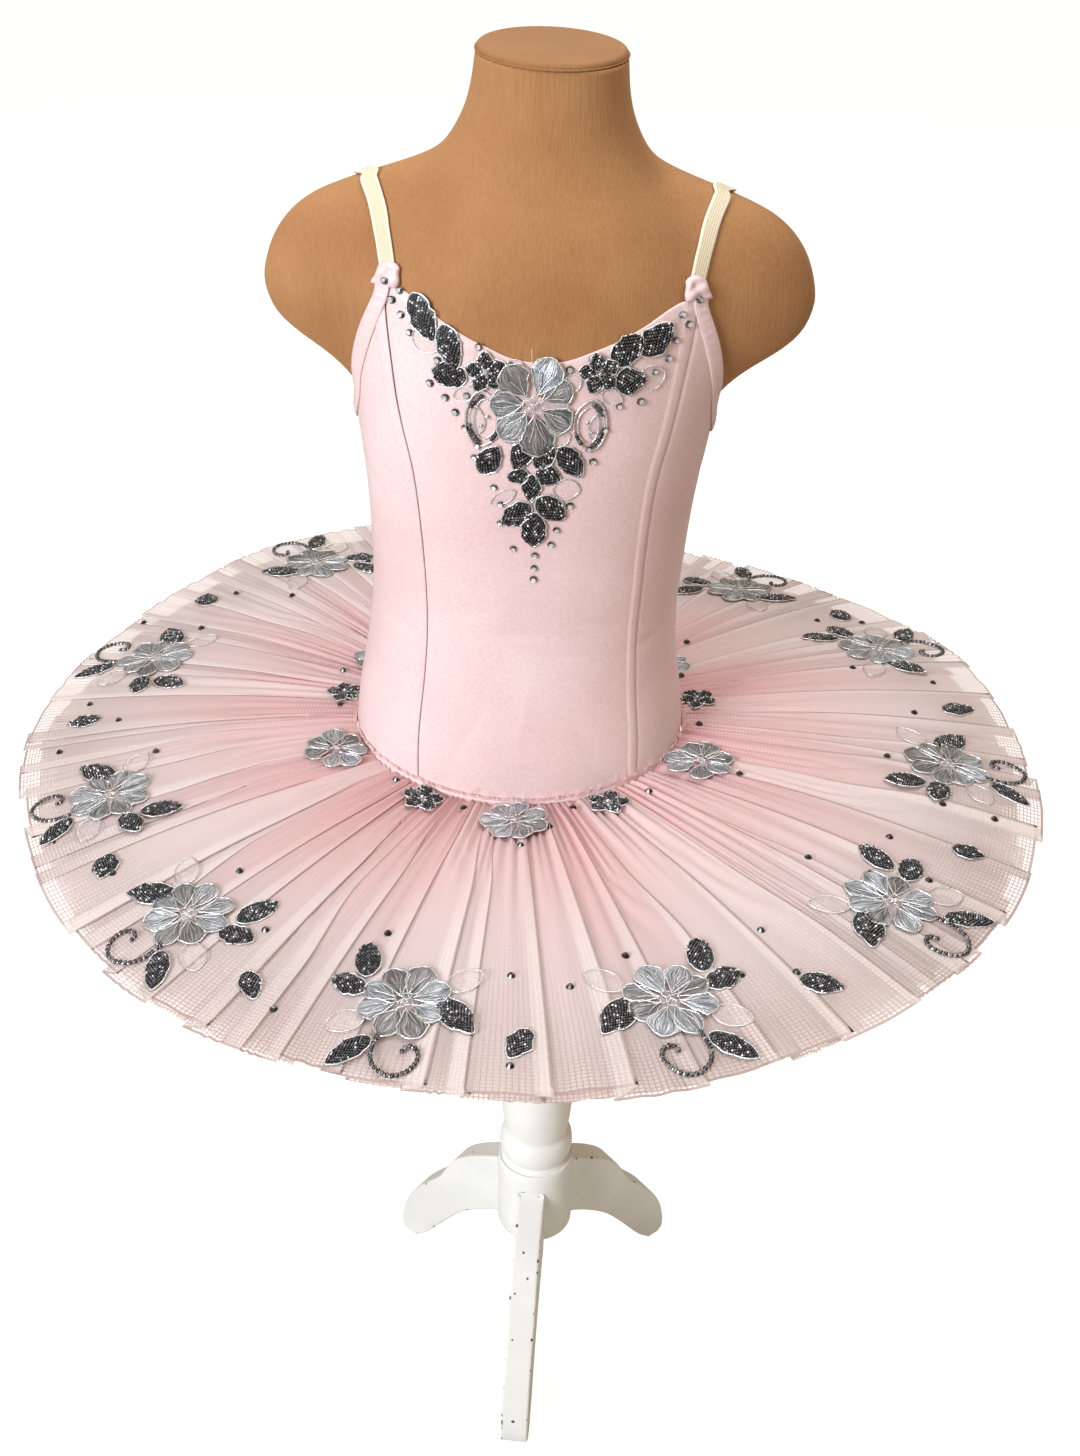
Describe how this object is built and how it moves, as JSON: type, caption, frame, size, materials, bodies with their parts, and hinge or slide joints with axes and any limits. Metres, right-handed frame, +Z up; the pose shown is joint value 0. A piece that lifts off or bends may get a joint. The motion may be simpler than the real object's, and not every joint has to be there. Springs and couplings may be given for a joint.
{
  "type": "ballet tutu on a limbless dress form with stand",
  "caption": "Child's pancake tutu with lace appliques, worn by a limbless dress form on a turned post with legs.",
  "frame": {"origin": "on the floor, under the middle of the skirt's outline", "axes": "+Z up along the stand; the garment's front faces -Y; +X is to the right seen from the front"},
  "size_m": [0.7145, 0.7147, 1.0879],
  "materials": {
    "jersey": "tan knitted cover, matt, fine vertical grain",
    "satin_lycra": "pale pink stretch satin, soft shine",
    "elastic": "cream ribbed elastic, matt",
    "net": "pale pink stiff net, matt, see-through in single layers",
    "silver_lace": "silver-grey embroidered lace, satin stitch",
    "dark_lace": "dark beaded lace",
    "white_paint": "white painted wood, satin"
  },
  "bodies": {
    "root": {"armhole_binding_left": "satin_lycra", "armhole_binding_right": "satin_lycra", "bodice_back": "satin_lycra", "bodice_front": "satin_lycra", "bodice_side_left": "satin_lycra", "bodice_side_right": "satin_lycra", "brief": "satin_lycra", "brief_gusset_back": "satin_lycra", "brief_gusset_front": "satin_lycra", "chest_applique": "silver_lace", "form_neck_cap": "jersey", "form_torso": "jersey", "hip_flower_big_1": "silver_lace", "hip_flower_big_2": "silver_lace", "hip_flower_big_3": "silver_lace", "hip_flower_big_4": "silver_lace", "hip_flower_big_5": "silver_lace", "hip_flower_big_6": "silver_lace", "hip_flower_small_1": "dark_lace", "hip_flower_small_2": "dark_lace", "hip_flower_small_3": "dark_lace", "hip_flower_small_4": "dark_lace", "hip_flower_small_5": "dark_lace", "hip_flower_small_6": "dark_lace", "hip_heading": "net", "skirt_leaf_01": "dark_lace", "skirt_leaf_02": "dark_lace", "skirt_leaf_03": "dark_lace", "skirt_leaf_04": "dark_lace", "skirt_leaf_05": "dark_lace", "skirt_leaf_06": "dark_lace", "skirt_leaf_07": "dark_lace", "skirt_leaf_08": "dark_lace", "skirt_leaf_09": "dark_lace", "skirt_leaf_10": "dark_lace", "skirt_leaf_11": "dark_lace", "skirt_ring_1": "net", "skirt_ring_2": "net", "skirt_ring_3": "net", "skirt_ring_4": "net", "skirt_spray_01": "silver_lace", "skirt_spray_02": "silver_lace", "skirt_spray_03": "silver_lace", "skirt_spray_04": "silver_lace", "skirt_spray_05": "silver_lace", "skirt_spray_06": "silver_lace", "skirt_spray_07": "silver_lace", "skirt_spray_08": "silver_lace", "skirt_spray_09": "silver_lace", "skirt_spray_10": "silver_lace", "skirt_spray_11": "silver_lace", "stand_leg_front": "white_paint", "stand_leg_left": "white_paint", "stand_leg_right": "white_paint", "stand_post": "white_paint", "strap_left": "elastic", "strap_right": "elastic", "strap_tab_left": "satin_lycra", "strap_tab_right": "satin_lycra"}
  },
  "joints": []
}
